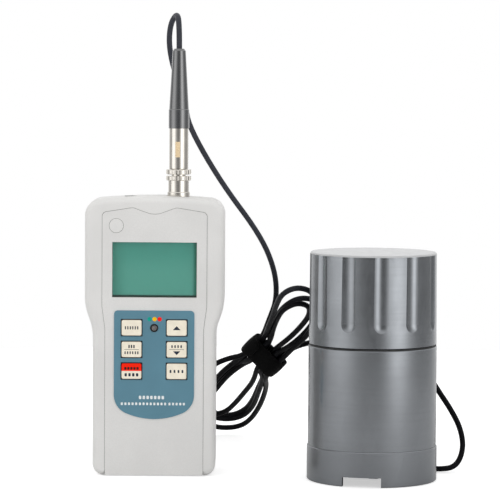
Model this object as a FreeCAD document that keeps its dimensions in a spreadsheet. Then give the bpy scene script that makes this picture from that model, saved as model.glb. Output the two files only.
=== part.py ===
"""Grain moisture meter: an upright hand-held meter, a screw-capped grain cell and the cable between them.

Row frame, millimetres: +Z up, the fronts face -Y, the floor is Z = 0 and the origin is the centre of the
footprint. The meter and the grain cell each have a local frame on their own centre line.
"""
import FreeCAD, Part
import math
import os

import Sketcher

Vector = FreeCAD.Vector
doc = FreeCAD.newDocument("GrainMoistureMeter")

# Driving dimensions in millimetres and degrees, in groups.
SIZES = {
    # Places of the two instruments on the floor.
    "meter_x": -56.3, "meter_y": -1.0, "cell_x": 59.0, "cell_y": -4.0,
    # Meter case: a wide head on a narrower grip.
    "case_depth": 38.0, "split_depth": 13.0, "wall": 2.4,
    "head_half": 36.9, "grip_half": 32.6, "shoulder_low": 78.0, "shoulder_high": 90.0,
    "corner_height": 145.9, "apex_height": 148.5,
    "top_corner": 8.5, "bottom_corner": 6.0, "shoulder_round": 28.0, "crown_round": 300.0,
    "front_round": 3.2, "back_round": 7.0,
    # Front panel, display and keypad.
    "panel_top_half": 27.6, "panel_grip_half": 26.0, "panel_foot": 0.3, "panel_thick": 1.0,
    "panel_seat": 0.8, "panel_gap": 0.2, "panel_side_top": 139.6, "panel_horn_x": 11.5,
    "panel_horn_top": 142.2, "panel_dip_top": 138.0,
    "lcd_half": 22.3, "lcd_low": 94.8, "lcd_high": 124.0, "lcd_glass": 1.2, "lcd_gap": 0.2,
    "overlay_half": 21.2, "overlay_tip": 27.3, "overlay_corner": 36.0, "overlay_high": 87.9,
    "overlay_thick": 0.4, "corner_round": 10.5, "chin_round": 37.5,
    "key_wide": 10.5, "key_tall": 8.2, "key_column": 11.9, "key_row": 67.3, "key_pitch": 11.5,
    "key_gap": 0.3, "key_stand": 0.8, "key_round": 0.9,
    "led_height": 78.7, "led_radius": 1.6, "led_ring": 2.1,
    "badge_x": -20.2, "badge_z": 132.7, "badge_radius": 3.7,
    # Case screws and their bosses.
    "low_boss_x": 26.0, "low_boss_z": 9.0, "high_boss_x": 29.0, "high_boss_z": 136.0,
    "boss_radius": 3.6, "screw_recess": 18.0,
    # Battery bay in the back of the grip.
    "bay_half": 17.0, "bay_low": 12.0, "bay_high": 68.0, "cover_gap": 0.3, "cover_rib": 1.2,
    # Sockets in the top of the case, and the plug on the cable.
    "plug_x": 12.0, "plug_y": 19.5, "jack_x": -13.5, "jack_radius": 1.8,
    "socket_radius": 5.5, "bezel_radius": 6.0, "socket_top": 155.9,
    "collar_radius": 6.75, "collar_base": 159.2, "barrel_base": 162.0, "barrel_radius": 5.1,
    "barrel_top": 183.6, "boot_step": 193.6, "boot_top": 226.0,
    "boot_radius": 5.5, "boot_tip_radius": 3.35,
    # Grain cell.
    "cell_radius": 33.8, "skirt_radius": 34.3, "skirt_top": 18.2, "body_top": 70.8,
    "bore_radius": 26.4, "neck_radius": 28.6, "neck_top": 86.0, "cup_floor": 24.0,
    "cup_outer": 26.2, "cup_inner": 24.8, "electrode_radius": 5.0, "electrode_top": 70.0,
    "notch_wide": 20.4, "notch_tall": 5.0, "notch_turn": 11.6,
    "gland_turn": 60.0, "gland_height": 55.0, "gland_tip": 46.5,
    # Screw cap.
    "cap_radius": 33.6, "cap_top_radius": 33.3, "cap_base": 71.6, "cap_top": 119.0, "disc_top": 120.0,
    "cap_bore": 29.7, "cap_room": 28.0,
    "cap_bore_top": 88.0, "cap_ceiling": 115.0, "flute_bed": 32.1, "flute_deep": 1.3, "flute_wide": 8.2,
    "flute_foot": 84.2, "hub_radius": 6.0, "hub_base": 98.0, "stem_radius": 2.9,
    "plate_radius": 24.3, "plate_base": 82.6,
    # Cable and its hank.
    "cord": 3.0, "hank_waist": 18.4, "waist_thick": 6.4, "waist_long": 28.0,
    "strap_long": 8.0, "strap_thick": 1.4, "strap_slack": 0.2,
}

sheet = doc.addObject("Spreadsheet::Sheet", "Sizes")
for row, (alias, number) in enumerate(SIZES.items(), start=1):
    sheet.set("A%d" % row, alias)
    sheet.set("B%d" % row, str(number))
    sheet.setAlias("B%d" % row, alias)
doc.recompute()

PIECES = []


def size(expression):
    """The value of an expression in the sheet's aliases."""
    return float(sheet.evalExpression(expression))


def linked(expression):
    """The same expression as another object of the document writes it."""
    out, word = "", ""
    for letter in expression + " ":
        if letter.isalnum() or letter == "_" or (letter == "." and word[:1].isdigit()):
            word += letter
            continue
        out += "Sizes." + word if word in SIZES else word
        word = ""
        out += letter
    return out.strip()


def bind(obj, **sizes):
    """Bind properties of an object to expressions in the sheet's aliases."""
    for name, expression in sizes.items():
        obj.setExpression(name, linked(str(expression)))


def place(obj, x="0", y="0", z="0"):
    """Bind an object's position."""
    obj.setExpression("Placement.Base.x", linked(x))
    obj.setExpression("Placement.Base.y", linked(y))
    obj.setExpression("Placement.Base.z", linked(z))


def keep(obj, label):
    """Name a finished sub-part, which is then written to its own file."""
    obj.Label = label
    PIECES.append(obj)
    return obj


METER = {"x": "meter_x", "y": "meter_y"}
CELL = {"x": "cell_x", "y": "cell_y"}
PLUG = {"x": "meter_x + plug_x", "y": "meter_y + plug_y"}


# ---------------------------------------------------------------- sketches and features

def new_body(name, at):
    body = doc.addObject("PartDesign::Body", name)
    place(body, **at)
    return keep(body, name)


def new_sketch(body, name, plane, offset="0"):
    """A sketch on one of the body's own planes. A positive offset moves it along +Y or +Z."""
    sketch = body.newObject("Sketcher::SketchObject", body.Name + "_" + name)
    base = [o for o in body.Origin.OriginFeatures if o.Role == plane + "_Plane"][0]
    sketch.AttachmentSupport = [(base, "")]
    sketch.MapMode = "FlatFace"
    sign = "-" if plane == "XZ" else ""
    sketch.setExpression("AttachmentOffset.Base.z", sign + "(" + linked(offset) + ")")
    return sketch


def fix_point(sketch, geometry, corner, x, y):
    """Hold one point of a sketch at sheet-driven coordinates."""
    for kind, expression in (("DistanceX", x), ("DistanceY", y)):
        row = sketch.addConstraint(Sketcher.Constraint(kind, -1, 1, geometry, corner, size(expression)))
        name = "fix%d" % row
        sketch.renameConstraint(row, name)
        sketch.setExpression("Constraints." + name, linked(expression))


def draw_polygon(sketch, corners):
    """A closed outline through corners given as pairs of expressions."""
    first = sketch.GeometryCount
    spots = [Vector(size(x), size(y), 0) for x, y in corners]
    count = len(spots)
    for i in range(count):
        sketch.addGeometry(Part.LineSegment(spots[i], spots[(i + 1) % count]), False)
    for i in range(count):
        sketch.addConstraint(Sketcher.Constraint("Coincident", first + i, 2, first + (i + 1) % count, 1))
    for i, (x, y) in enumerate(corners):
        fix_point(sketch, first + i, 1, x, y)


def draw_box(sketch, x, y, wide, tall):
    """A rectangle about a centre."""
    low_x, high_x = "%s - (%s) / 2" % (x, wide), "%s + (%s) / 2" % (x, wide)
    low_y, high_y = "%s - (%s) / 2" % (y, tall), "%s + (%s) / 2" % (y, tall)
    draw_polygon(sketch, [(low_x, low_y), (high_x, low_y), (high_x, high_y), (low_x, high_y)])


def draw_circle(sketch, x, y, radius):
    where = Vector(size(x), size(y), 0)
    row = sketch.addGeometry(Part.Circle(where, Vector(0, 0, 1), size(radius)), False)
    fix_point(sketch, row, 3, x, y)
    held = sketch.addConstraint(Sketcher.Constraint("Radius", row, size(radius)))
    name = "radius%d" % held
    sketch.renameConstraint(held, name)
    sketch.setExpression("Constraints." + name, linked(radius))


def extrude(sketch, length, kind):
    """Pad or pocket a sketch, towards +Y from an XZ plane, +Z from an XY plane and +X from a YZ plane."""
    body = sketch.getParentGeoFeatureGroup()
    before = body.Tip.Shape.Volume if kind == "Pocket" else 0.0
    feature = body.newObject("PartDesign::" + kind, sketch.Name + "_" + kind.lower())
    feature.Profile = sketch
    on_xz = "XZ" in sketch.AttachmentSupport[0][0].Role
    feature.Reversed = on_xz != (kind == "Pocket")
    bind(feature, Length=length)
    sketch.Visibility = False
    body.Tip = feature
    doc.recompute()
    if kind == "Pocket" and feature.Shape.Volume > before - 1e-3:
        raise ValueError(feature.Name + " cuts nothing")
    return feature


def pad(sketch, length):
    return extrude(sketch, length, "Pad")


def pocket(sketch, length):
    return extrude(sketch, length, "Pocket")


def spin(body, name, corners, kind="Revolution"):
    """Revolve a half section, given as (radius, height) pairs, about the body's Z axis."""
    sketch = new_sketch(body, name, "XZ")
    draw_polygon(sketch, corners)
    feature = body.newObject("PartDesign::" + kind, body.Name + "_" + name + "_turned")
    feature.Profile = sketch
    feature.ReferenceAxis = (sketch, ["V_Axis"])
    feature.Angle = 360
    sketch.Visibility = False
    body.Tip = feature
    doc.recompute()
    return feature


def edges_at(feature, test):
    """Names of the feature's edges for which test(edge, middle point) holds."""
    found = []
    for number, edge in enumerate(feature.Shape.Edges, start=1):
        middle = edge.valueAt((edge.FirstParameter + edge.LastParameter) / 2)
        if test(edge, middle):
            found.append("Edge%d" % number)
    return found


def along_y(edge):
    """True for a straight edge that runs front to back."""
    if edge.Curve.TypeId != "Part::GeomLine":
        return False
    return abs(edge.Curve.Direction.y) > 0.999


def soften(body, name, feature, edges, radius, kind="Fillet"):
    rounded = body.newObject("PartDesign::" + kind, body.Name + "_" + name)
    rounded.Base = (feature, edges)
    bind(rounded, **{"Radius" if kind == "Fillet" else "Size": radius})
    body.Tip = rounded
    doc.recompute()
    return rounded


def repeat_round(body, name, feature, count):
    """Repeat a feature evenly about the body's Z axis."""
    pattern = body.newObject("PartDesign::PolarPattern", body.Name + "_" + name)
    pattern.Originals = [feature]
    axis = [o for o in body.Origin.OriginFeatures if o.Role == "Z_Axis"][0]
    pattern.Axis = (axis, [""])
    pattern.Angle = 360
    pattern.Occurrences = count
    body.Tip = pattern
    doc.recompute()
    return pattern


# ---------------------------------------------------------------- primitives

def box(name, low, high):
    """A Part::Box between two corners given as expressions."""
    solid = doc.addObject("Part::Box", name)
    bind(solid, Length="(%s) - (%s)" % (high[0], low[0]), Width="(%s) - (%s)" % (high[1], low[1]),
         Height="(%s) - (%s)" % (high[2], low[2]))
    place(solid, *low)
    return solid


def cylinder(name, radius, length, at, towards="z"):
    """A Part::Cylinder from a point, along +Z or +Y."""
    solid = doc.addObject("Part::Cylinder", name)
    bind(solid, Radius=radius, Height=length)
    if towards == "y":
        solid.Placement = FreeCAD.Placement(Vector(), FreeCAD.Rotation(Vector(1, 0, 0), -90))
    place(solid, *at)
    return solid


def fuse(name, solids):
    joined = doc.addObject("Part::MultiFuse", name)
    joined.Shapes = solids
    return joined


def cut(name, base, tool):
    result = doc.addObject("Part::Cut", name)
    result.Base = base
    result.Tool = tool
    return result


# ---------------------------------------------------------------- meter: case

def case_outline(inset="0"):
    """The head-and-grip outline seen from the front, moved inwards by an inset."""
    grip, head = "grip_half - (%s)" % inset, "head_half - (%s)" % inset
    low, corner, apex = inset, "corner_height - (%s)" % inset, "apex_height - (%s)" % inset
    right = [(grip, low), (grip, "shoulder_low"), (head, "shoulder_high"), (head, corner)]
    left = [("-(%s)" % x, z) for x, z in reversed(right)]
    return right + [("0", apex)] + left


def near(body, x, z):
    """Front-to-back edges of a body's tip at a distance x to either side and a height z."""
    return edges_at(body.Tip, lambda edge, middle: along_y(edge) and abs(abs(middle.x) - x) < 0.6
                    and abs(middle.z - z) < 0.6)


def round_outline(body):
    """Round the case's front-to-back edges: crown, bottom and top corners, and the S of the shoulders."""
    grip, head = size("grip_half"), size("head_half")
    soften(body, "crown", body.Tip, near(body, 0.0, size("apex_height")), "crown_round")
    soften(body, "foot", body.Tip, near(body, grip, 0.0), "bottom_corner")
    soften(body, "corner", body.Tip, near(body, head, size("corner_height")), "top_corner")
    soften(body, "waist", body.Tip, near(body, grip, size("shoulder_low")), "shoulder_round")
    soften(body, "brow", body.Tip, near(body, head, size("shoulder_high")), "shoulder_round")


BOSSES = [("-low_boss_x", "low_boss_z"), ("low_boss_x", "low_boss_z"),
          ("-high_boss_x", "high_boss_z"), ("high_boss_x", "high_boss_z")]


def key_places():
    """Name, column and row of each key, from the top row down."""
    names = [("key_select", -1, 1), ("key_up", 1, 1), ("key_mode", -1, 0), ("key_down", 1, 0),
             ("key_power", -1, -1), ("key_read", 1, -1)]
    return [(name, "%d * key_column" % column, "key_row + %d * key_pitch" % row)
            for name, column, row in names]


def panel_outline(grow="0"):
    """The tongue-shaped front panel, with two horns and a dip at its top edge."""
    right = [("panel_grip_half + %s" % grow, "panel_foot - %s" % grow),
             ("panel_grip_half + %s" % grow, "shoulder_low"),
             ("panel_top_half + %s" % grow, "shoulder_high"),
             ("panel_top_half + %s" % grow, "panel_side_top + %s" % grow),
             ("panel_horn_x", "panel_horn_top + %s" % grow)]
    left = [("-(%s)" % x, z) for x, z in reversed(right)]
    return right + [("0", "panel_dip_top + %s" % grow)] + left


def round_panel(body, grow=0.0):
    """Round the horns, the dip and the upper corners of the panel or of its seat."""
    soften(body, "horns", body.Tip, near(body, size("panel_horn_x"), size("panel_horn_top") + grow), "4")
    soften(body, "dip", body.Tip, near(body, 0.0, size("panel_dip_top") + grow), "12")
    soften(body, "shoulders", body.Tip, near(body, size("panel_top_half") + grow,
                                             size("panel_side_top") + grow),
           "2.5")


def face_edges(body, y):
    """Outer edges that lie in the plane at depth y."""
    return edges_at(body.Tip, lambda edge, middle: abs(edge.BoundBox.YMin - y) < 0.01
                    and abs(edge.BoundBox.YMax - y) < 0.01)


def pocket_holes(body, name, offset, circles, depth):
    """Round holes in one pocket, from (x, z, radius) expressions."""
    sketch = new_sketch(body, name, "XZ", offset)
    for x, z, radius in circles:
        draw_circle(sketch, x, z, radius)
    return pocket(sketch, depth)


def top_openings(body):
    """The socket's and the jack's holes through the crown."""
    sketch = new_sketch(body, "top_holes", "XY", "corner_height - 4")
    draw_circle(sketch, "plug_x", "plug_y", "bezel_radius + 0.15")
    draw_circle(sketch, "jack_x", "plug_y", "jack_radius + 1.6")
    pocket(sketch, "20")


def front_case():
    body = new_body("front_case", METER)
    outline = new_sketch(body, "outline", "XZ")
    draw_polygon(outline, case_outline())
    pad(outline, "split_depth")
    round_outline(body)
    soften(body, "front_edge", body.Tip, face_edges(body, 0.0), "front_round")
    inside = new_sketch(body, "inside", "XZ", "wall")
    draw_polygon(inside, case_outline("wall"))
    pocket(inside, "split_depth")
    posts = new_sketch(body, "posts", "XZ", "wall - 0.2")
    for x, z in BOSSES:
        draw_circle(posts, x, z, "boss_radius")
    pad(posts, "split_depth - wall + 0.2")
    pocket_holes(body, "pilots", "wall + 2", [(x, z, "1.2") for x, z in BOSSES], "split_depth")
    seat = new_sketch(body, "panel_seat", "XZ", "-1")
    draw_polygon(seat, panel_outline("0.15"))
    pocket(seat, "1 + panel_seat")
    round_panel(body, 0.15)
    window = new_sketch(body, "window", "XZ", "-1")
    draw_box(window, "0", "(lcd_low + lcd_high) / 2", "2 * lcd_half", "lcd_high - lcd_low")
    pocket(window, "wall + 3")
    keys = new_sketch(body, "key_openings", "XZ", "-1")
    for name, x, z in key_places():
        draw_box(keys, x, z, "key_wide + 2 * key_gap", "key_tall + 2 * key_gap")
    pocket(keys, "wall + 3")
    pocket_holes(body, "led_hole", "-1", [("0", "led_height", "led_ring + 0.1")], "wall + 3")


def rear_case():
    body = new_body("rear_case", METER)
    outline = new_sketch(body, "outline", "XZ", "split_depth")
    draw_polygon(outline, case_outline())
    pad(outline, "case_depth - split_depth")
    round_outline(body)
    soften(body, "back_edge", body.Tip, face_edges(body, size("case_depth")), "back_round")
    inside = new_sketch(body, "inside", "XZ", "split_depth - 1")
    draw_polygon(inside, case_outline("wall + 1"))
    pocket(inside, "case_depth - split_depth - wall + 1")
    posts = new_sketch(body, "posts", "XZ", "split_depth")
    for x, z in BOSSES:
        draw_circle(posts, x, z, "boss_radius + 0.4")
    pad(posts, "case_depth - split_depth - wall + 0.2")
    pocket_holes(body, "screw_holes", "split_depth - 1", [(x, z, "1.6") for x, z in BOSSES], "case_depth")
    pocket_holes(body, "screw_recesses", "case_depth - screw_recess",
                 [(x, z, "2.8") for x, z in BOSSES], "case_depth")
    top_openings(body)
    bay = new_sketch(body, "bay_mouth", "XZ", "case_depth - wall - 1")
    draw_box(bay, "0", "(bay_low + bay_high) / 2", "2 * bay_half", "bay_high - bay_low")
    pocket(bay, "wall + 5")


def face_panel():
    body = new_body("face_panel", METER)
    outline = new_sketch(body, "outline", "XZ", "-panel_gap")
    draw_polygon(outline, panel_outline())
    pad(outline, "panel_thick")
    round_panel(body)
    window = new_sketch(body, "window", "XZ", "-1")
    draw_box(window, "0", "(lcd_low + lcd_high) / 2", "2 * lcd_half", "lcd_high - lcd_low")
    pocket(window, "4")
    keys = new_sketch(body, "key_openings", "XZ", "-1")
    for name, x, z in key_places():
        draw_box(keys, x, z, "key_wide + 2 * key_gap", "key_tall + 2 * key_gap")
    pocket(keys, "4")
    pocket_holes(body, "led_hole", "-1", [("0", "led_height", "led_ring + 0.1")], "4")
    pocket_holes(body, "badge_seat", "-1", [("badge_x", "badge_z", "badge_radius + 0.15")],
                 "1.4 - panel_gap")


def keypad_overlay():
    body = new_body("keypad_overlay", METER)
    outline = new_sketch(body, "outline", "XZ", "-panel_gap - overlay_thick")
    draw_polygon(outline, [("-overlay_half", "overlay_high"), ("-overlay_half", "overlay_corner"),
                           ("0", "overlay_tip"), ("overlay_half", "overlay_corner"),
                           ("overlay_half", "overlay_high")])
    pad(outline, "overlay_thick")
    soften(body, "sides", body.Tip, near(body, size("overlay_half"), size("overlay_corner")),
           "corner_round")
    soften(body, "chin", body.Tip, near(body, 0.0, size("overlay_tip")), "chin_round")
    soften(body, "head", body.Tip, near(body, size("overlay_half"), size("overlay_high")), "2")
    keys = new_sketch(body, "key_openings", "XZ", "-2")
    for name, x, z in key_places():
        draw_box(keys, x, z, "key_wide + 2 * key_gap", "key_tall + 2 * key_gap")
    pocket(keys, "4")
    pocket_holes(body, "led_hole", "-2", [("0", "led_height", "led_ring + 0.1")], "4")


def blank_disc():
    """The plain raised disc in the panel's upper left corner."""
    where = ("meter_x + badge_x", "meter_y - panel_gap - 0.05", "badge_z")
    keep(cylinder("blank_disc", "badge_radius", "0.4", where, "y"), "blank_disc")


def lcd():
    """The clear window in the opening, and the display module behind it."""
    middle = "(lcd_low + lcd_high) / 2"
    body = new_body("lcd_window", METER)
    glass = new_sketch(body, "outline", "XZ", "wall - lcd_glass")
    draw_box(glass, "0", middle, "2 * lcd_half - 2 * lcd_gap", "lcd_high - lcd_low - 2 * lcd_gap")
    pad(glass, "lcd_glass")
    soften(body, "corners", body.Tip, edges_at(body.Tip, lambda e, m: along_y(e)), "0.8")
    body = new_body("lcd_module", METER)
    frame = new_sketch(body, "outline", "XZ", "wall + 0.2")
    draw_box(frame, "0", middle, "2 * lcd_half + 5", "lcd_high - lcd_low + 4")
    pad(frame, "3.4")
    soften(body, "rim", body.Tip, face_edges(body, size("wall") + 0.2), "0.5", "Chamfer")


def key(name, x, z):
    """A push key: a crowned cap, a retaining flange behind the panel and a plunger."""
    at = {"x": "meter_x + " + x, "y": "meter_y", "z": z}
    body = new_body(name, at)
    front = "-panel_gap - overlay_thick - key_stand"
    cap = new_sketch(body, "cap", "XZ", front)
    draw_box(cap, "0", "0", "key_wide", "key_tall")
    pad(cap, "wall + panel_gap + overlay_thick + key_stand + 0.4")
    soften(body, "corners", body.Tip, edges_at(body.Tip, lambda e, m: along_y(e)), "key_round")
    soften(body, "crown", body.Tip, face_edges(body, size(front)), "0.35")
    flange = new_sketch(body, "flange", "XZ", "wall + 0.3")
    draw_box(flange, "0", "0", "key_wide + 1.0", "key_tall + 1.8")
    pad(flange, "0.7")
    plunger = new_sketch(body, "plunger", "XZ", "wall + 0.9")
    draw_circle(plunger, "0", "0", "1.6")
    pad(plunger, "1.0")


def boxes_behind_keys():
    """Six tactile switches on the board, one behind each key."""
    switches = []
    for name, x, z in key_places():
        low = ("meter_x + %s - 3" % x, "meter_y + wall + 2.6", "%s - 3" % z)
        high = ("meter_x + %s + 3" % x, "meter_y + wall + 3.8", "%s + 3" % z)
        switches.append(box("switch_of_" + name, low, high))
    keep(fuse("key_switches", switches), "key_switches")


def led():
    """The indicator's black ring and its lens."""
    ring = new_body("led_bezel", {"x": "meter_x", "y": "meter_y", "z": "led_height"})
    face = new_sketch(ring, "ring", "XZ", "-panel_gap - overlay_thick - 0.3")
    draw_circle(face, "0", "0", "led_ring")
    draw_circle(face, "0", "0", "led_radius")
    pad(face, "wall + 2")
    lens = new_body("indicator_led", {"x": "meter_x", "y": "meter_y", "z": "led_height"})
    glass = new_sketch(lens, "lens", "XZ", "-panel_gap - overlay_thick - 0.1")
    draw_circle(glass, "0", "0", "led_radius - 0.05")
    pad(glass, "wall + 3.8")
    soften(lens, "dome", lens.Tip, face_edges(lens, size("-panel_gap - overlay_thick - 0.1")), "0.5")


BOARD_SCREWS = [("-24", "24"), ("24", "24"), ("-24", "88.5"), ("24", "88.5")]


def electronics():
    """The main board, its four short screws, the battery and the tray it sits in."""
    board = box("board_blank", ("meter_x - 27", "meter_y + wall + 3.9", "20"),
                ("meter_x + 27", "meter_y + wall + 5.5", "129"))
    holes = [cylinder("board_hole_%d" % i, "1.3", "6", ("meter_x + %s" % x, "meter_y + wall + 1", z), "y")
             for i, (x, z) in enumerate(BOARD_SCREWS)]
    keep(cut("main_board", board, fuse("board_holes", holes)), "main_board")
    screws = []
    for i, (x, z) in enumerate(BOARD_SCREWS):
        shank = cylinder("board_shank_%d" % i, "1.2", "3.6",
                         ("meter_x + %s" % x, "meter_y + wall + 1.9", z), "y")
        head = cylinder("board_head_%d" % i, "2.3", "1.3", ("meter_x + %s" % x, "meter_y + wall + 5.5", z),
                        "y")
        screws += [shank, head]
    keep(fuse("board_screws", screws), "board_screws")




def battery_bay():
    """An open tray behind the cover, the block battery in it and the battery's snap contacts."""
    tray_front = "meter_y + case_depth - wall - 19.4"
    tray_back = "meter_y + case_depth - wall - 0.1"
    outer = box("tray_outer", ("meter_x - bay_half", tray_front, "bay_low"),
                ("meter_x + bay_half", tray_back, "bay_high"))
    room = box("tray_room", ("meter_x - bay_half + 1.4", tray_front + " + 1.2", "bay_low + 1.4"),
               ("meter_x + bay_half - 1.4", tray_back + " + 2", "bay_high - 1.4"))
    keep(cut("battery_tray", outer, room), "battery_tray")
    front, back = tray_front + " + 1.4", tray_front + " + 17.9"
    block = box("battery_block", ("meter_x - 13.2", front, "bay_low + 1.8"),
                ("meter_x + 13.2", back, "bay_low + 47.2"))
    poles = [cylinder("battery_pole_%s" % side, "3", "1.8",
                      ("meter_x + (%s)" % x, tray_front + " + 9.6", "bay_low + 47.2"))
             for side, x in (("left", "-6.3"), ("right", "6.3"))]
    keep(fuse("battery", [block] + poles), "battery")
    clip = box("snap_plate", ("meter_x - 12", tray_front + " + 3", "bay_low + 49.2"),
               ("meter_x + 12", tray_front + " + 16", "bay_low + 51.6"))
    keep(clip, "battery_contacts")


def battery_cover():
    """The cover over the bay: a flush plate with side skirts and three finger ribs."""
    body = new_body("battery_cover", METER)
    plate = new_sketch(body, "plate", "XZ", "case_depth - wall + 0.1")
    middle = "(bay_low + bay_high) / 2"
    draw_box(plate, "0", middle, "2 * bay_half - 2 * cover_gap", "bay_high - bay_low - 2 * cover_gap")
    pad(plate, "wall - 0.1")
    soften(body, "corners", body.Tip, edges_at(body.Tip, lambda e, m: along_y(e)), "1.5")
    ribs = new_sketch(body, "ribs", "XZ", "case_depth - 0.2")
    for rise in ("4", "8", "12"):
        draw_box(ribs, "0", "bay_high - " + rise, "14", "1.6")
    pad(ribs, "cover_rib + 0.2")


def case_screws():
    """Four machine screws that hold the two halves of the case together."""
    parts = []
    for i, (x, z) in enumerate(BOSSES):
        where = "meter_x + (%s)" % x
        head = cylinder("case_head_%d" % i, "2.5", "1.8",
                        (where, "meter_y + case_depth - screw_recess", z), "y")
        shank = cylinder("case_shank_%d" % i, "1.15", "14.6", (where, "meter_y + wall + 3.2", z), "y")
        parts += [head, shank]
    keep(fuse("case_screws", parts), "case_screws")


# ---------------------------------------------------------------- meter: sockets, plug

def data_jack():
    """A small round jack under the crown, for a data lead."""
    body = new_body("data_jack", {"x": "meter_x + jack_x", "y": "meter_y + plug_y"})
    top = "apex_height - 0.9"
    spin(body, "shell", [("jack_radius", "132.5"), ("jack_radius", top), ("jack_radius + 1.4", top),
                         ("jack_radius + 1.4", "143.4"), ("jack_radius + 2.6", "143.4"),
                         ("jack_radius + 2.6", "131"), ("0", "131"), ("0", "132.5")])


def sensor_socket():
    """The chassis socket for the grain cell's plug, the bezel round it and its fixed ring."""
    body = new_body("sensor_socket", PLUG)
    spin(body, "shell", [("0", "136"), ("8", "136"), ("8", "143.4"), ("socket_radius", "143.4"),
                         ("socket_radius", "socket_top"), ("3.9", "socket_top"), ("3.9", "140"),
                         ("0", "140")])
    body = new_body("socket_bezel", PLUG)
    spin(body, "ring", [("socket_radius + 0.05", "145.9"), ("bezel_radius", "145.9"),
                        ("bezel_radius", "149.5"),
                        ("bezel_radius - 0.3", "149.9"), ("socket_radius + 0.05", "149.9")])
    body = new_body("socket_ring", PLUG)
    knurled(body, "ring", "socket_top + 0.05", "collar_base - 0.7")


def knurled(body, name, low, high, bore="3.9"):
    """A ring with a grip of 24 shallow grooves and chamfered edges."""
    spin(body, name, [(bore, low), ("collar_radius - 0.4", low), ("collar_radius", low + " + 0.4"),
                      ("collar_radius", high + " - 0.4"), ("collar_radius - 0.4", high), (bore, high)])
    groove = new_sketch(body, "groove", "XY", low + " - 1")
    draw_circle(groove, "collar_radius + 0.25", "0", "0.55")
    cutter = pocket(groove, "(%s) - (%s) + 2" % (high, low))
    repeat_round(body, "grip", cutter, 24)


def plug():
    """The plug: turning collar, chrome barrel, pin insert and moulded boot."""
    body = new_body("plug_collar", PLUG)
    knurled(body, "ring", "collar_base", "barrel_base - 0.1", "3.85")
    body = new_body("plug_barrel", PLUG)
    spin(body, "shell", [("3.0", "148"), ("3.7", "148"), ("3.7", "barrel_base"),
                         ("barrel_radius - 0.3", "barrel_base"),
                         ("barrel_radius", "barrel_base + 0.3"), ("barrel_radius", "barrel_top"),
                         ("4.4", "barrel_top"), ("4.4", "barrel_top + 6"), ("2.6", "barrel_top + 6"),
                         ("2.6", "170"), ("3.0", "170")])
    insert = cylinder("insert_core", "2.95", "8", ("meter_x + plug_x", "meter_y + plug_y", "156"))
    pins = []
    for i in range(4):
        turn = math.radians(45 + 90 * i)
        x = "meter_x + plug_x + (%.3f)" % (1.5 * math.cos(turn))
        y = "meter_y + plug_y + (%.3f)" % (1.5 * math.sin(turn))
        pins.append(cylinder("pin_%d" % i, "0.45", "7.5", (x, y, "149")))
    keep(fuse("plug_insert", [insert] + pins), "plug_insert")
    body = new_body("plug_boot", PLUG)
    spin(body, "moulding", [("0", "barrel_top + 6.1"), ("4.45", "barrel_top + 6.1"),
                            ("4.45", "barrel_top + 0.05"),
                            ("boot_radius", "barrel_top + 0.05"), ("boot_radius", "boot_step"),
                            ("boot_radius - 0.25", "boot_step + 0.3"),
                            ("boot_tip_radius + 0.15", "boot_top - 1.2"),
                            ("boot_tip_radius - 0.7", "boot_top"), ("0", "boot_top")])


# ---------------------------------------------------------------- grain cell

def base():
    """The skirt with its three notches, the plate under it and the plate's screws."""
    body = new_body("base_ring", CELL)
    spin(body, "skirt", [("31", "0"), ("skirt_radius - 0.4", "0"), ("skirt_radius", "0.4"),
                         ("skirt_radius", "skirt_top - 0.4"), ("skirt_radius - 0.4", "skirt_top"),
                         ("26", "skirt_top"), ("26", "skirt_top - 2"), ("31", "skirt_top - 2")])
    notch = new_sketch(body, "notch", "XZ", "-skirt_radius - 1")
    draw_box(notch, "0", "0", "notch_wide", "2 * notch_tall")
    cutter = pocket(notch, "skirt_radius - 8")
    repeat_round(body, "notches", cutter, 3)
    body.setExpression("Placement.Rotation.Angle", "-Sizes.notch_turn")
    plate = cylinder("base_blank", "30.7", "2.4", ("cell_x", "cell_y", "5.3"))
    holes, screws = [], []
    for i in range(3):
        turn = math.radians(30 + 120 * i)
        x = "cell_x + (%.3f)" % (24 * math.cos(turn))
        y = "cell_y + (%.3f)" % (24 * math.sin(turn))
        holes.append(cylinder("base_hole_%d" % i, "1.7", "4", (x, y, "4.6")))
        screws.append(cylinder("base_head_%d" % i, "2.8", "1.7", (x, y, "3.55")))
        screws.append(cylinder("base_shank_%d" % i, "1.5", "16", (x, y, "5.2")))
    keep(cut("base_plate", plate, fuse("base_holes", holes)), "base_plate")
    keep(fuse("base_screws", screws), "base_screws")


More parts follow.
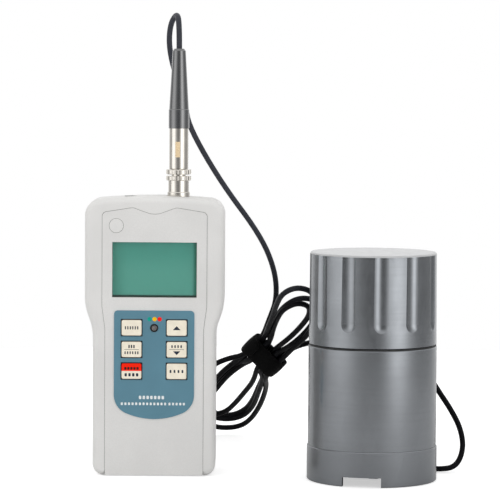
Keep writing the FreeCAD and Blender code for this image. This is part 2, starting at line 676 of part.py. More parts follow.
def sensor_body():
    """The cell's housing: outer wall, floor, and the neck that the cap screws onto."""
    body = new_body("sensor_body", CELL)
    ribs = []
    for low in ("74.5", "79.5", "84"):
        ribs += [("neck_radius", low), ("neck_radius + 0.7", low + " + 0.7"),
                 ("neck_radius", low + " + 1.4")]
    section = [("9", "skirt_top + 0.1"), ("cell_radius", "skirt_top + 0.1"),
               ("cell_radius", "body_top - 0.4"),
               ("cell_radius - 0.4", "body_top"), ("neck_radius", "body_top")] + ribs
    section += [("neck_radius - 0.5", "neck_top"), ("bore_radius", "neck_top"),
                ("bore_radius", "cup_floor"),
                ("9", "cup_floor")]
    spin(body, "shell", section)
    pilots = new_sketch(body, "base_pilots", "XY", "skirt_top - 1")
    for turn in (0, 120, 240):
        draw_circle(pilots, "24 * %.4f" % math.cos(math.radians(turn)),
                    "24 * %.4f" % math.sin(math.radians(turn)),
                    "1.55")
    pocket(pilots, "4.6")
    seat = new_sketch(body, "gland_seat", "XZ", "-cell_radius - 1")
    draw_circle(seat, "0", "gland_height", "6.4")
    pocket(seat, "2.2")
    shank = new_sketch(body, "gland_hole", "XZ", "-cell_radius - 1")
    draw_circle(shank, "0", "gland_height", "4.1")
    pocket(shank, "10")
    channel = new_sketch(body, "wire_channel", "XZ", "-bore_radius - 3.2")
    draw_box(channel, "0", "(gland_height + 17) / 2", "3.4", "gland_height - 17")
    pocket(channel, "4.4")
    body.setExpression("Placement.Rotation.Angle", "90 + Sizes.gland_turn")


def grain_cup():
    """The cup that holds the sample, with the insulated electrode standing in its middle."""
    body = new_body("grain_cup", CELL)
    spin(body, "liner", [("11.9", "cup_floor + 0.1"), ("cup_outer", "cup_floor + 0.1"),
                         ("cup_outer", "neck_top - 0.6"),
                         ("cup_inner", "neck_top - 0.6"), ("cup_inner", "cup_floor + 1.6"),
                         ("11.9", "cup_floor + 1.6")])
    body = new_body("electrode_insulator", CELL)
    spin(body, "sleeve", [("2.6", "skirt_top + 0.2"), ("8.8", "skirt_top + 0.2"),
                          ("8.8", "cup_floor + 0.05"),
                          ("11.7", "cup_floor + 0.05"), ("11.7", "cup_floor + 3"),
                          ("2.6", "cup_floor + 3")])
    body = new_body("centre_electrode", CELL)
    spin(body, "rod", [("0", "12.2"), ("2.5", "12.2"), ("2.5", "cup_floor + 3.05"),
                       ("electrode_radius", "cup_floor + 3.05"),
                       ("electrode_radius", "electrode_top - 1.5"),
                       ("electrode_radius - 1.5", "electrode_top"),
                       ("0", "electrode_top")])
    body = new_body("electrode_nut", CELL)
    across = new_sketch(body, "hexagon", "XY", "14.6")
    corners = [("%.4f" % (4.6 * math.cos(math.radians(60 * i))),
                "%.4f" % (4.6 * math.sin(math.radians(60 * i))))
               for i in range(6)]
    draw_polygon(across, corners)
    pad(across, "3.4")
    hole = new_sketch(body, "bore", "XY", "13")
    draw_circle(hole, "0", "0", "2.55")
    pocket(hole, "8")
    board = cylinder("sensor_board_blank", "22", "1.6", ("cell_x", "cell_y", "9.8"))
    keep(board, "sensor_board")


def cable_gland():
    """The gland in the housing's back, where the cable comes out."""
    body = new_body("cable_gland", CELL)
    body.setExpression("Placement.Base.z", "Sizes.gland_height")
    out = new_sketch(body, "flange", "XZ", "-cell_radius - 2")
    draw_circle(out, "0", "0", "6.2")
    pad(out, "3.1")
    neck = new_sketch(body, "shank", "XZ", "-cell_radius + 1")
    draw_circle(neck, "0", "0", "4.0")
    pad(neck, "5.8")
    nose = body.newObject("PartDesign::AdditiveCone", "cable_gland_nose")
    nose.AttachmentSupport = [([o for o in body.Origin.OriginFeatures if o.Role == "XZ_Plane"][0], "")]
    nose.MapMode = "FlatFace"
    nose.setExpression("AttachmentOffset.Base.z", "Sizes.cell_radius + 1.9")
    bind(nose, Radius1="4.6", Radius2="3.2", Height="gland_tip - cell_radius - 1.9")
    body.Tip = nose
    body.setExpression("Placement.Rotation.Angle", "90 + Sizes.gland_turn")


def cap_gasket():
    """The thin seal between the housing's shoulder and the cap."""
    body = new_body("cap_gasket", CELL)
    spin(body, "ring", [("cap_bore", "body_top + 0.1"), ("cell_radius - 0.3", "body_top + 0.1"),
                        ("cell_radius - 0.3", "cap_base - 0.1"), ("cap_bore", "cap_base - 0.1")])


def cap_shell():
    """The fluted screw cap, with the hub that guides the pressure plate's stem."""
    body = new_body("cap_shell", CELL)
    spin(body, "wall", [("cap_bore", "cap_base"), ("cap_radius - 0.4", "cap_base"),
                        ("cap_radius", "cap_base + 0.4"),
                        ("cap_top_radius", "cap_top"), ("0", "cap_top"), ("0", "cap_ceiling"),
                        ("5", "cap_ceiling"),
                        ("5", "hub_base + 8"), ("stem_radius + 0.08", "hub_base + 8"),
                        ("stem_radius + 0.08", "hub_base"), ("hub_radius", "hub_base"),
                        ("hub_radius", "cap_ceiling"), ("cap_room", "cap_ceiling"),
                        ("cap_room", "cap_bore_top"),
                        ("cap_bore", "cap_bore_top")])
    flute = new_sketch(body, "flute", "XY", "flute_foot")
    reach = "(flute_wide * flute_wide / 4 + flute_deep * flute_deep) / (2 * flute_deep)"
    draw_circle(flute, "0", "-(flute_bed + %s)" % reach, reach)
    cutter = pocket(flute, "cap_top - flute_foot + 2")
    repeat_round(body, "flutes", cutter, 12)
    foot = body.newObject("PartDesign::SubtractiveSphere", "cap_shell_flute_end")
    foot.AttachmentSupport = flute.AttachmentSupport
    foot.MapMode = "FlatFace"
    foot.setExpression("AttachmentOffset.Base.y", linked("-(flute_bed + %s)" % reach))
    foot.setExpression("AttachmentOffset.Base.z", linked("flute_foot"))
    bind(foot, Radius=reach, Angle1="-90", Angle2="0")
    body.Tip = foot
    repeat_round(body, "flute_ends", foot, 12)
    body.setExpression("Placement.Rotation.Angle", "5")


def cap_disc():
    """The pale plate that covers the cap's top and the flutes' upper ends."""
    body = new_body("cap_disc", CELL)
    spin(body, "plate", [("0", "cap_top + 0.02"), ("cap_top_radius - 0.1", "cap_top + 0.02"),
                         ("cap_top_radius - 0.1", "disc_top - 0.35"), ("cap_top_radius - 0.5", "disc_top"),
                         ("0", "disc_top")])


def pressure_plate():
    """The sprung plate that presses the sample, its clip and its spring."""
    body = new_body("pressure_plate", CELL)
    spin(body, "plate", [("0", "plate_base"), ("plate_radius - 0.6", "plate_base"),
                         ("plate_radius", "plate_base + 0.6"),
                         ("plate_radius", "plate_base + 2.4"), ("7", "plate_base + 2.4"),
                         ("stem_radius", "plate_base + 5"),
                         ("stem_radius", "hub_base + 13.6"), ("0", "hub_base + 13.6")])
    groove = [("2.2", "hub_base + 8.4"), ("4", "hub_base + 8.4"), ("4", "hub_base + 9.6"),
              ("2.2", "hub_base + 9.6")]
    spin(body, "clip_groove", groove, "Groove")
    body = new_body("stem_clip", CELL)
    spin(body, "ring", [("2.3", "hub_base + 8.5"), ("4.6", "hub_base + 8.5"), ("4.6", "hub_base + 9.5"),
                        ("2.3", "hub_base + 9.5")])
    body = new_body("pressure_spring", CELL)
    coil = body.newObject("PartDesign::AdditiveHelix", "pressure_spring_coil")
    wire = new_sketch(body, "wire", "XZ")
    draw_circle(wire, "8.6", "plate_base + 3.05", "0.6")
    coil.Profile = wire
    coil.ReferenceAxis = (wire, ["V_Axis"])
    coil.Mode = "height-turns-growth"
    bind(coil, Height="cap_ceiling - plate_base - 3.7", Turns="7")
    body.Tip = coil
    doc.recompute()


# ---------------------------------------------------------------- cable

def route_wire(points):
    """Straight runs joined by tangent arcs, each arc as large as its two runs allow."""
    edges, radii, here = [], [], points[0]
    for before, corner, after in zip(points, points[1:], points[2:]):
        into, out = (corner - before), (after - corner)
        shorter = min(into.Length, out.Length)
        into.normalize()
        out.normalize()
        turn = into.getAngle(out)
        reach = 0.45 * shorter
        radii.append(reach / math.tan(turn / 2))
        start, end = corner - into * reach, corner + out * reach
        inward = (out - into)
        inward.normalize()
        middle = corner + inward * (radii[-1] / math.cos(turn / 2) - radii[-1])
        edges += [Part.LineSegment(here, start).toShape(), Part.Arc(start, middle, end).toShape()]
        here = end
    edges.append(Part.LineSegment(here, points[-1]).toShape())
    return Part.Wire(edges), radii


def cable(name, points):
    """A round cable along a route, with a check of its bends and of its volume."""
    wire, radii = route_wire(points)
    ring = Part.Wire([Part.Circle(points[0], points[1] - points[0], size("cord") / 2).toShape()])
    solid = wire.makePipeShell([ring], True, False)
    exact = math.pi * size("cord") ** 2 / 4 * wire.Length
    print("%s: length %.1f, radii %s, volume ratio %.4f"
          % (name, wire.Length, " ".join("%.0f" % r for r in radii), solid.Volume / exact))
    feature = doc.addObject("Part::Feature", name)
    feature.Shape = solid
    feature.Placement = FreeCAD.Placement(Vector(0, 0, 0), FreeCAD.Rotation())
    keep(feature, name)


def gland_mouth(out=0.0):
    """A point on the gland's axis, beyond its tip."""
    turn, reach = math.radians(size("gland_turn")), size("gland_tip") + out
    return Vector(size("cell_x") + reach * math.cos(turn), size("cell_y") + reach * math.sin(turn),
                  size("gland_height"))


def free_cable():
    """The lead from the boot to the hank, and the tail from the hank to the gland."""
    plug_at = Vector(size("meter_x + plug_x"), size("meter_y + plug_y"), size("boot_top"))
    over = [(-45.8, 31, 245.5), (-50, 41, 239), (-50.8, 43.5, 226), (-48.2, 46.5, 208), (-39, 51.5, 187),
            (-19, 61.5, 153), (-0.5, 72.5, 124), (8, 80, 104), (9.3, 86, 87), (5, 91, 75), (1, 88, 63.7)]
    cable("cable_lead", [plug_at, plug_at + Vector(0, 0, 12.5)] + [Vector(*at) for at in over])
    across = [(13.6, 88.5, 55.9), (24, 83, 62.5), (37, 79, 64.5), (47, 73, 52), (51.5, 65, 33),
              (56, 56, 12),
              (66, 48, 1.6), (78, 38, 1.6), (88, 27, 1.6), (95.5, 18, 1.6), (105.5, 19.5, 2.6),
              (110, 25.5, 11.5),
              (108.8, 32, 22), (103.5, 40, 32), (96.5, 46.5, 42)]
    cable("cable_tail", [Vector(*at) for at in across] + [gland_mouth(13), gland_mouth()])


# The tied hank lies in a leaning plane: its lower loops near the floor, its upper loops beside the cap.
HANK_LOW, HANK_HIGH = Vector(-17, 168, 1.6), Vector(19.8, 18, 99.1)
# The strands turn towards the front where the strap holds them: this way up through it, this way across it.
STRAP_AHEAD, STRAP_ACROSS = Vector(0.65, -0.38, 0.66), Vector(0.71, 0, -0.7)


def in_hank():
    """A placement whose X runs up the leaning plane and whose Y runs level across the loops."""
    up = HANK_HIGH - HANK_LOW
    across = Vector(1, -up.x / up.y, 0)
    return FreeCAD.Placement(HANK_LOW, FreeCAD.Rotation(up, across, up.cross(across), "XYZ"))


def in_strap(along):
    """A placement whose X runs along the strands in the strap and whose Y runs across them."""
    middle = in_hank().multVec(Vector(95, 0, 2))
    ahead = Vector(STRAP_AHEAD).normalize()
    turned = FreeCAD.Rotation(ahead, STRAP_ACROSS, ahead.cross(STRAP_ACROSS), "XZY")
    return FreeCAD.Placement(middle + ahead * along, turned)


def loops(name, low, high, corners):
    """One end of the hank: an outline of its loops, padded between two heights above the leaning plane."""
    body = doc.addObject("PartDesign::Body", name)
    outline = new_sketch(body, "outline", "XY", low)
    draw_polygon(outline, corners)
    pad(outline, "(%s) - (%s)" % (high, low))
    body.Placement = in_hank()
    return body


def hank():
    """The outer shape of the tied hank, pinched at its waist, and the strap round the waist."""
    lower = loops("hank_lower_loops", "-cord / 2", "7",
                  [("2", "-14"), ("2", "5"), ("10", "11.5"), ("36", "12.5"), ("70", "11.5"), ("80", "8"),
                   ("89", "-5"),
                   ("96", "-18"), ("92", "-25"), ("84", "-30"), ("70", "-32"), ("42", "-32"),
                   ("16", "-24")])
    upper = loops("hank_upper_loops", "-4", "5.2",
                  [("107", "-4.5"), ("98", "9.5"), ("108", "13.5"), ("124", "18"), ("142", "20.5"),
                   ("160", "19.5"),
                   ("176", "15"), ("186.5", "7"), ("186.5", "-2"), ("178", "-6"), ("130", "-5")])
    waist = doc.addObject("PartDesign::Body", "hank_waist_bundle")
    section = new_sketch(waist, "section", "YZ")
    draw_box(section, "0", "0", "hank_waist", "waist_thick")
    pad(section, "waist_long")
    waist.Placement = in_strap(-size("waist_long") / 2)
    keep(fuse("cable_hank", [lower, upper, waist]), "cable_hank")
    strap = keep(doc.addObject("PartDesign::Body", "cable_strap"), "cable_strap")
    band = new_sketch(strap, "band", "YZ")
    inside = ("hank_waist + 2 * strap_slack", "waist_thick + 2 * strap_slack")
    draw_box(band, "0", "0", inside[0] + " + 2 * strap_thick", inside[1] + " + 2 * strap_thick")
    draw_box(band, "0", "0", *inside)
    pad(band, "strap_long")
    strap.Placement = in_strap(-size("strap_long") / 2)


# ---------------------------------------------------------------- assembly and output

front_case()
rear_case()
face_panel()
keypad_overlay()
blank_disc()
lcd()
for key_name, key_x, key_z in key_places():
    key(key_name, key_x, key_z)
boxes_behind_keys()
led()
electronics()
battery_bay()
battery_cover()
case_screws()
data_jack()
sensor_socket()
plug()
base()
sensor_body()
grain_cup()
cable_gland()
cap_gasket()
cap_shell()
cap_disc()
pressure_plate()
free_cable()
hank()
doc.recompute()

for item in doc.Objects:
    if "Invalid" in item.State or "Error" in item.State:
        raise ValueError("failed: " + item.Name)

os.makedirs("parts", exist_ok=True)
for piece in PIECES:
    shape = piece.Shape
    if shape.isNull() or not shape.isValid():
        raise ValueError("bad shape: " + piece.Label)
    shape.exportStep("parts/%s.step" % piece.Label)
print(len(PIECES), "pieces")
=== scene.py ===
import math

import bmesh
import bpy
from mathutils import Matrix, Vector


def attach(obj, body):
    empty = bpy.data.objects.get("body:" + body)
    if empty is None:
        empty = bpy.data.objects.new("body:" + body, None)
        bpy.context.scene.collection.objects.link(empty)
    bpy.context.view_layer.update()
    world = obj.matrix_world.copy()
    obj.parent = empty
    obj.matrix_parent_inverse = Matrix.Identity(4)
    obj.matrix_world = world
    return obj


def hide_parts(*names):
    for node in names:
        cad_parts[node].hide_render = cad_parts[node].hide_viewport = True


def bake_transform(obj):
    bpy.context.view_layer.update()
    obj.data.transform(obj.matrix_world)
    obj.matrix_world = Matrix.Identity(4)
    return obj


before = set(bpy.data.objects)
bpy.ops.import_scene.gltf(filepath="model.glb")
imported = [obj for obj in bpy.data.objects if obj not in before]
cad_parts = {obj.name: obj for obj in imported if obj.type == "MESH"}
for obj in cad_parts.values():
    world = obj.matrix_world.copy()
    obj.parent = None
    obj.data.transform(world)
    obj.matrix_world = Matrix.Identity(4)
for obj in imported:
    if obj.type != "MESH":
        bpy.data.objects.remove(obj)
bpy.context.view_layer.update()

MM = 0.001
scene = bpy.context.scene


# ---------------------------------------------------------------- camera

LENS = 194.7
EYE_AT = (-0.006, -1.423, 0.2161)
TILT_DOWN, ROLL = 3.855, 0.386


def camera():
    """A long lens a little above the two instruments, rolled very slightly."""
    data = bpy.data.cameras.new("camera")
    data.lens = LENS
    data.clip_start, data.clip_end = 0.1, 20
    eye = bpy.data.objects.new("camera", data)
    eye.location = EYE_AT
    tilt = Matrix.Rotation(math.radians(90 - TILT_DOWN), 3, "X")
    roll = Matrix.Rotation(math.radians(ROLL), 3, "Z")
    eye.rotation_euler = (tilt @ roll).to_euler()
    scene.collection.objects.link(eye)
    scene.camera = eye


# ---------------------------------------------------------------- cord

# The cord's diameter and the top of the plug's boot, in millimetres.
CORD = 3.0
PLUG_X, PLUG_Y, BOOT_TOP = -44.3, 18.5, 226
PLUG_TIP = (PLUG_X, PLUG_Y, BOOT_TOP)

# The lead: up out of the boot, over and down behind the plug, then across to the hank.
LEAD = [PLUG_TIP, (PLUG_X, PLUG_Y, 238.5), (-45.8, 31, 245.5), (-50, 41, 239), (-50.6, 43.5, 226),
        (-46.2, 46, 209), (-41.5, 48.5, 196), (-39.9, 51, 184), (-22.1, 60.5, 153), (-0.5, 72.5, 124),
        (8, 80, 104), (9.3, 86, 87), (5, 91, 75)]
# The tail: out of the hank behind the cell, down to the floor and up into the gland.
TAIL = [(24, 83, 62.5), (37, 79, 64.5), (47, 73, 52), (51.5, 65, 33), (56, 56, 12), (66, 48, 1.6),
        (78, 38, 1.6), (88, 27, 1.6), (95.5, 18, 1.6), (105.5, 19.5, 2.6), (110, 25.5, 11.5),
        (108.8, 32, 22), (103.5, 40, 32), (96.5, 46.5, 42), (88.75, 47.53, 55), (82.25, 36.27, 55)]

# The hank lies in a leaning plane: s runs up it from the floor, w level across it, n out of it.
HANK_LOW, HANK_HIGH = Vector((-17, 168, 1.6)), Vector((19.8, 18, 99.1))
UP = (HANK_HIGH - HANK_LOW).normalized()
ACROSS = Vector((1, -UP.x / UP.y, 0)).normalized()
NORMAL = UP.cross(ACROSS)
# The strap's own frame: along the strands it holds, across them, and through the band away from the viewer.
STRAP_AT = HANK_LOW + UP * 95 + NORMAL * 2
STRAP_ALONG = Vector((0.65, -0.38, 0.66)).normalized()
STRAP_THICK = STRAP_ALONG.cross(Vector((0.71, 0, -0.7))).normalized()
STRAP_WIDE = STRAP_THICK.cross(STRAP_ALONG)

# Each lower turn: (s, w) down its left strand, round its end and up its right strand.
LOW_TURNS = [
    [(96, -21), (88, -29), (70, -31.5), (44, -30), (20, -23),
     (5, -11), (4, 3), (13, 9), (34, 11), (60, 9.5)],
    [(92, -16), (76, -22), (54, -25), (32, -22.5), (18, -15),
     (14, -3.5), (20, 4.5), (34, 7), (52, 6), (72, 5)],
    [(88, -11), (74, -17), (58, -20), (43, -22.5), (31, -22.5),
     (22, -17), (25, -8.5), (37, -5), (52, -2.5), (68, 0)],
    [(90, -14), (76, -19.5), (54, -22), (34, -21.5), (21, -13.5),
     (19, -2.5), (28, 3.5), (42, 5), (58, 4.5), (76, 4.5)],
]
LOW_HEIGHTS = [(6, 0, 0, 0), (8, 3.2, 3.2, -1), (7, 3.2, 1.6, 0), (9, 5.5, 5, 1)]
# Each upper turn: up its right strand, round its end and down its left strand.
HIGH_TURNS = [
    [(112, 14), (124, 18), (140, 19.5), (158, 16.5), (171, 12.5), (180.5, 6.5),
     (183, -2), (175, -7.5), (161, -7.5), (147, -6.5), (130, -6)],
    [(112, 11), (126, 16), (142, 18.5), (157, 17.5), (168, 12.5),
     (170, 3), (160, -3), (146, -4.5), (130, -4.5)],
    [(112, 5), (124, 9.5), (137, 12.5), (149, 14), (160.5, 11.5),
     (164.5, 3.5), (157, -2.5), (146, -3.5), (133, -3), (120, -1.5)],
]
HIGH_HEIGHTS = [(-3, -2, -1, 3), (-2, 2, 3, 5), (0, 1, 2, 4)]
# Where strands pass down and up through the strap: lower and upper offset across it, and layer.
DOWN_PASSES = [(-8, -8, -1.6), (-7, -7, 1.6), (-2.6, -2.4, 1.6), (-4, -4, -1.6)]
UP_PASSES = [(8, 8, -1.6), (3.6, 3.6, -1.6), (1.4, 1.6, 1.6), (6, 6.2, 1.6)]


def on_hank(s, w, n):
    """A point of a turn. A raised strand lies back along the plane, so the front outline stays."""
    return HANK_LOW + UP * (s - 1.7 * n) + ACROSS * (w + 0.55 * n) + NORMAL * n


def in_strap(along, wide, thick):
    """A point inside the strap."""
    return STRAP_AT + STRAP_ALONG * along + STRAP_WIDE * wide + STRAP_THICK * thick


def height_at(heights, share):
    """A strand's height above the plane, from four heights along its turn."""
    knots = (0, 0.33, 0.6, 1)
    for k in range(3):
        if share <= knots[k + 1]:
            part = (share - knots[k]) / (knots[k + 1] - knots[k])
            return heights[k] + (heights[k + 1] - heights[k]) * part
    return heights[3]


def turn(corners, heights):
    """The points of one turn, from its corners in the plane and its heights above it."""
    last = len(corners) - 1
    return [on_hank(s, w, height_at(heights, k / last)) for k, (s, w) in enumerate(corners)]


def cord_route():
    """The whole cord as one line of control points, in millimetres."""
    points = [Vector(p) for p in LEAD]
    for k, corners in enumerate(LOW_TURNS):
        low, high, layer = DOWN_PASSES[k]
        points += [in_strap(8, high, layer), in_strap(-7, low, layer)]
        points += turn(corners, LOW_HEIGHTS[k])
        low, high, layer = UP_PASSES[k]
        points += [in_strap(-7, low, layer), in_strap(9, high, layer)]
        if k < len(HIGH_TURNS):
            points += turn(HIGH_TURNS[k], HIGH_HEIGHTS[k])
    return points + [Vector(p) for p in TAIL]


def spline_curve(name, points, radius):
    """A smooth round curve with these control points, all in millimetres."""
    data = bpy.data.curves.new(name, "CURVE")
    data.dimensions = "3D"
    data.resolution_u = 6
    data.bevel_depth = radius * MM
    data.bevel_resolution = 4
    spline = data.splines.new("NURBS")
    spline.points.add(len(points) - 1)
    for point, at in zip(spline.points, points):
        point.co = (*(at * MM), 1)
    spline.order_u = 3
    spline.use_endpoint_u = True
    obj = bpy.data.objects.new(name, data)
    scene.collection.objects.link(obj)
    return obj


def cord():
    """The cord's tube and its centre line, read from one spline."""
    curve = spline_curve("cord_route", cord_route(), CORD / 2)
    tube = bpy.data.meshes.new_from_object(curve)
    curve.data.bevel_depth = 0
    line = bpy.data.meshes.new_from_object(curve)
    path = [v.co[:] for v in line.vertices]
    bpy.data.objects.remove(curve)
    for face in tube.polygons:
        face.use_smooth = True
    obj = bpy.data.objects.new("sensor_cord", tube)
    scene.collection.objects.link(obj)
    return obj, path


camera()
sensor_cord, cord_path = cord()


# ---------------------------------------------------------------- materials

def srgb(*levels):
    """A display colour, 0 to 255, as a linear colour."""
    linear = [(v / 255 / 12.92) if v <= 10 else ((v / 255 + 0.055) / 1.055) ** 2.4 for v in levels]
    return (*linear, 1.0)


class Finish:
    """A procedural material, built up layer by layer in the object's own coordinates, in metres."""

    def __init__(self, name, colour, rough, metal=0.0, **sockets):
        self.material = bpy.data.materials.new(name)
        self.material.use_nodes = True
        self.tree = self.material.node_tree
        self.shader = self.tree.nodes["Principled BSDF"]
        self.shader.inputs["Base Color"].default_value = colour
        self.shader.inputs["Roughness"].default_value = rough
        self.shader.inputs["Metallic"].default_value = metal
        for socket, value in sockets.items():
            self.shader.inputs[socket.replace("_", " ")].default_value = value
        self.at = self.node("ShaderNodeTexCoord").outputs["Object"]
        self.normal = None

    def node(self, kind, **settings):
        """A new node with these settings."""
        made = self.tree.nodes.new(kind)
        for name, value in settings.items():
            setattr(made, name, value)
        return made

    def join(self, out, into):
        """A link from one socket into another."""
        self.tree.links.new(out, into)

    def stretched(self, x=1.0, y=1.0, z=1.0):
        """The object's coordinates, scaled unevenly."""
        mapping = self.node("ShaderNodeMapping")
        mapping.inputs["Scale"].default_value = (x, y, z)
        self.join(self.at, mapping.inputs["Vector"])
        return mapping.outputs["Vector"]

    def noise(self, size, detail=2.0, rough=0.5, at=None):
        """Noise with features of about this size in millimetres."""
        made = self.node("ShaderNodeTexNoise")
        made.inputs["Scale"].default_value = 1 / (size * MM)
        made.inputs["Detail"].default_value = detail
        made.inputs["Roughness"].default_value = rough
        self.join(at or self.at, made.inputs["Vector"])
        return made.outputs["Fac"]

    def cells(self, size):
        """Distance to the middle of the nearest cell."""
        made = self.node("ShaderNodeTexVoronoi", feature="F1")
        made.inputs["Scale"].default_value = 1 / (size * MM)
        self.join(self.at, made.inputs["Vector"])
        return made.outputs["Distance"]

    def waves(self, size, direction="Z", bend=0.0):
        """Regular bands across a direction, this far apart in millimetres."""
        made = self.node("ShaderNodeTexWave", bands_direction=direction)
        made.inputs["Scale"].default_value = math.pi / (10 * size * MM)
        made.inputs["Distortion"].default_value = bend
        made.inputs["Detail"].default_value = 1.5
        self.join(self.at, made.inputs["Vector"])
        return made.outputs["Fac"]

    def part(self, axis):
        """One coordinate, in metres."""
        split = self.node("ShaderNodeSeparateXYZ")
        self.join(self.at, split.inputs["Vector"])
        return split.outputs[axis]

    def span(self, value, start, end, low=0.0, high=1.0, smooth=True):
        """A value from start to end, mapped on low to high and held beyond."""
        made = self.node("ShaderNodeMapRange", interpolation_type="SMOOTHSTEP" if smooth else "LINEAR")
        for socket, number in zip(("From Min", "From Max", "To Min", "To Max"), (start, end, low, high)):
            made.inputs[socket].default_value = number
        self.join(value, made.inputs["Value"])
        return made.outputs["Result"]

    def maths(self, kind, a, b=None):
        """One sum or comparison of sockets and plain numbers."""
        made = self.node("ShaderNodeMath", operation=kind)
        for socket, value in zip(made.inputs, (a, b)):
            if isinstance(value, (int, float)):
                socket.default_value = value
            elif value is not None:
                self.join(value, socket)
        return made.outputs["Value"]

    def mixed(self, share, a, b):
        """Two colours, or sockets, mixed by a mask."""
        made = self.node("ShaderNodeMix", data_type="RGBA")
        self.join(share, made.inputs["Factor"])
        for socket, value in ((made.inputs[6], a), (made.inputs[7], b)):
            if isinstance(value, tuple):
                socket.default_value = value
            else:
                self.join(value, socket)
        return made.outputs[2]

    def colour(self, share, a, b):
        """The base colour, mixed by a mask."""
        self.join(self.mixed(share, a, b), self.shader.inputs["Base Color"])

    def rough(self, share, low, high):
        """The roughness, from low to high over the middle of a noise's range."""
        self.join(self.span(share, 0.3, 0.7, low, high), self.shader.inputs["Roughness"])

    def bump(self, height, depth, strength=1.0):
        """Relief of this depth in millimetres, on top of any before it."""
        made = self.node("ShaderNodeBump")
        made.inputs["Strength"].default_value = strength
        made.inputs["Distance"].default_value = depth * MM
        self.join(height, made.inputs["Height"])
        if self.normal:
            self.join(self.normal, made.inputs["Normal"])
        self.normal = made.outputs["Normal"]
        self.join(self.normal, self.shader.inputs["Normal"])


def shade(colour, factor):
    """A colour made lighter or darker."""
    return (*(min(1.0, v * factor) for v in colour[:3]), 1.0)


# The middle of the meter's face and the grain cell's axis, in metres.
METER_X = -0.0563
CELL_X, CELL_Y = 0.059, -0.004
# The colour of the painted shade in the groove round the front panel.
SEAM_PAINTED_SHADE = srgb(60, 52, 46)


def seam_shade_mask(made, start):
    """A mask for painted shade in the groove round the front panel, from a depth in millimetres inwards.

    The panel is wider across the head than down the grip, and the groove ends just above its horns.
    """
    across, depth, tall = made.part("X"), made.part("Y"), made.part("Z")
    deep = made.maths("MULTIPLY", made.span(depth, start * MM, (start + 0.05) * MM),
                      made.span(depth, 0.0, -0.0001))
    half_wide = made.span(tall, 0.078, 0.09, 0.0263, 0.0279, smooth=False)
    from_middle = made.maths("ABSOLUTE", made.maths("SUBTRACT", across, METER_X))
    beside = made.maths("LESS_THAN", from_middle, half_wide)
    below = made.maths("LESS_THAN", tall, 0.1428)
    return made.maths("MULTIPLY", deep, made.maths("MULTIPLY", beside, below))


def moulded(name, colour, grain=0.35, depth=0.012, rough=(0.42, 0.56), handled=False, seam_shade_depth=None):
    """Spark-textured moulded plastic with faint flow marks.

    It is smoother at the sides where a hand holds it, and with a seam depth it has painted shade in the
    panel's groove from that depth inwards.
    """
    made = Finish(name, colour, rough[0], Specular_IOR_Level=0.45)
    cloud = made.noise(38, 3, 0.55)
    speck = made.noise(0.5, 1)
    tone = made.mixed(made.span(cloud, 0.35, 0.65), shade(colour, 0.965), shade(colour, 1.02))
    tone = made.mixed(made.span(speck, 0.35, 0.7, 0, 0.35), tone, shade(colour, 0.9))
    if seam_shade_depth:
        # Painted shade in the groove round the front panel.
        tone = made.mixed(seam_shade_mask(made, seam_shade_depth), tone, SEAM_PAINTED_SHADE)
    made.join(tone, made.shader.inputs["Base Color"])
    texture = made.noise(grain, 2, 0.6)
    if handled:
        across = made.maths("ABSOLUTE", made.maths("SUBTRACT", made.part("X"), METER_X))
        sides, low = made.span(across, 0.027, 0.0325), made.span(made.part("Z"), 0.1, 0.07)
        flat = made.span(made.maths("MULTIPLY", sides, low), 0, 1, rough[1], rough[0] - 0.1)
        mottle = made.span(made.noise(6, 3), 0.3, 0.7, -0.04, 0.04)
        made.join(made.maths("ADD", flat, mottle), made.shader.inputs["Roughness"])
    else:
        made.rough(made.noise(6, 3), *rough)
    made.bump(texture, depth, 0.8)
    return made.material


def print_film():
    """The keypad's printed film: even blue-grey ink under a fine satin surface."""
    ink = srgb(90, 135, 153)
    made = Finish("overlay_film", ink, 0.4,
                  Specular_IOR_Level=0.4, Coat_Weight=0.15, Coat_Roughness=0.35)
    made.colour(made.span(made.noise(24, 3), 0.3, 0.7), shade(ink, 0.95), shade(ink, 1.04))
    made.rough(made.noise(2.5, 3), 0.34, 0.46)
    made.bump(made.noise(0.22, 1), 0.006, 0.7)
    return made.material


def key_rubber(name, red_above=None):
    """Cream silicone with painted shade down in the gap round it, and red above a height on one key."""
    cream = srgb(247, 238, 219)
    made = Finish(name, cream, 0.55, Specular_IOR_Level=0.15, Sheen_Weight=0.03, Sheen_Roughness=0.5)
    tone = made.mixed(made.span(made.noise(3.2, 3), 0.3, 0.7), shade(cream, 0.96), shade(cream, 1.04))
    if red_above:
        edge = made.span(made.part("Z"), red_above * MM - 0.00006, red_above * MM + 0.00006)
        red = made.mixed(made.noise(3, 2), srgb(255, 30, 0), srgb(250, 40, 4))
        tone = made.mixed(edge, tone, red)
    # Painted shade: darker deeper back in the gap round the key.
    made.colour(made.span(made.part("Y"), -0.0021, -0.0017), tone, srgb(44, 38, 34))
    made.rough(made.noise(1.4, 2), 0.48, 0.62)
    made.bump(made.noise(0.18, 2), 0.008, 0.7)
    return made.material


